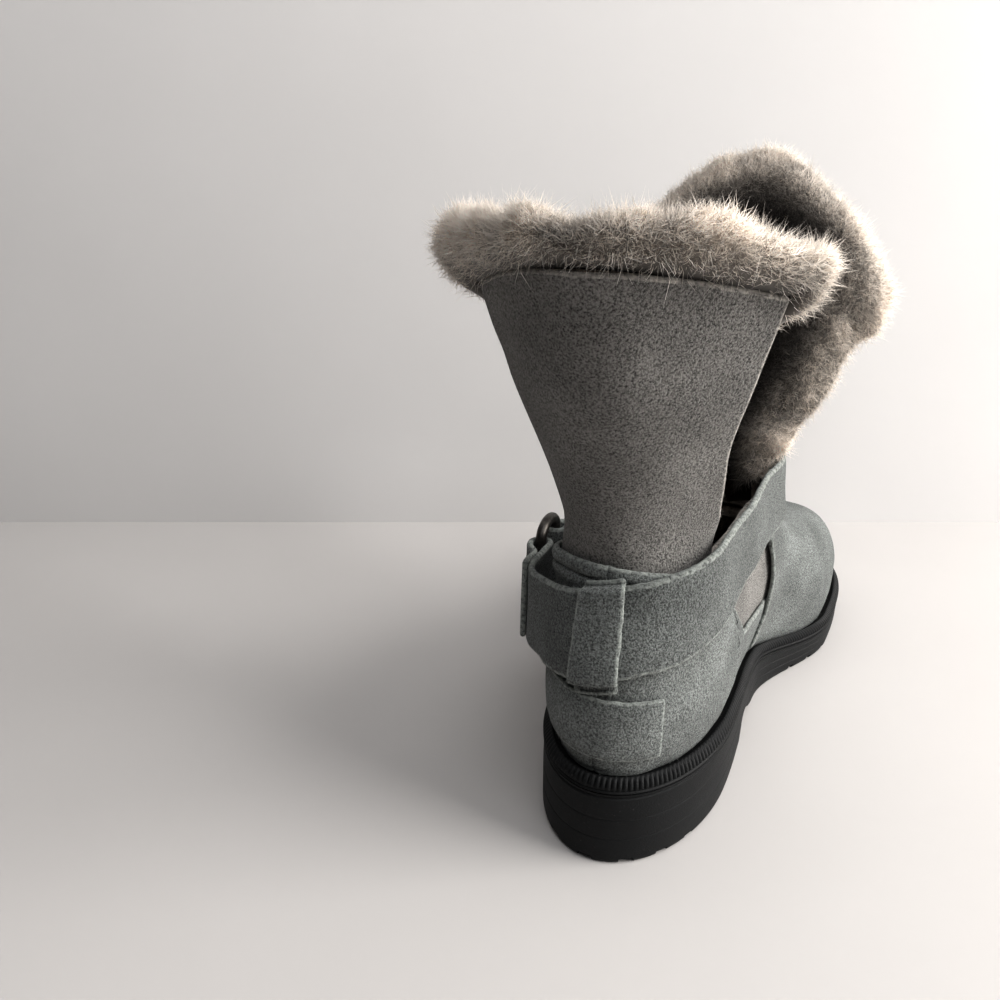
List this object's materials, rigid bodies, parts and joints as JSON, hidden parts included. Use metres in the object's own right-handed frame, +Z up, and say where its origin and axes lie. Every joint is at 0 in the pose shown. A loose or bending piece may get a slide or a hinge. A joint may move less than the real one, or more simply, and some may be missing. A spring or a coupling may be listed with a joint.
{
  "type": "sheepskin boot",
  "caption": "Short left boot in suede with a flared, split shaft of woolly sheepskin, an ankle strap on an oval ring and a rubber sole with a block heel.",
  "frame": {"origin": "on the floor under the centre of the heel, at mount heel_rest", "axes": "+X towards the medial side, +Y towards the toe, +Z up"},
  "size_m": [0.1119, 0.3126, 0.2343],
  "materials": {
    "sole_rubber": "matte",
    "footbed_wool": "soft pile",
    "foot_suede": "brushed nap",
    "shaft_sheepskin": "brushed nap",
    "dark_metal": "matte"
  },
  "bodies": {
    "root": {"outsole": "sole_rubber", "welt": "sole_rubber", "insole": "footbed_wool", "upper": "foot_suede", "shaft": "shaft_sheepskin", "strap": "foot_suede", "loop_heel": "foot_suede", "loop_instep": "foot_suede", "ring": "dark_metal", "rivet_upper": "dark_metal", "rivet_lower": "dark_metal"}
  },
  "joints": []
}
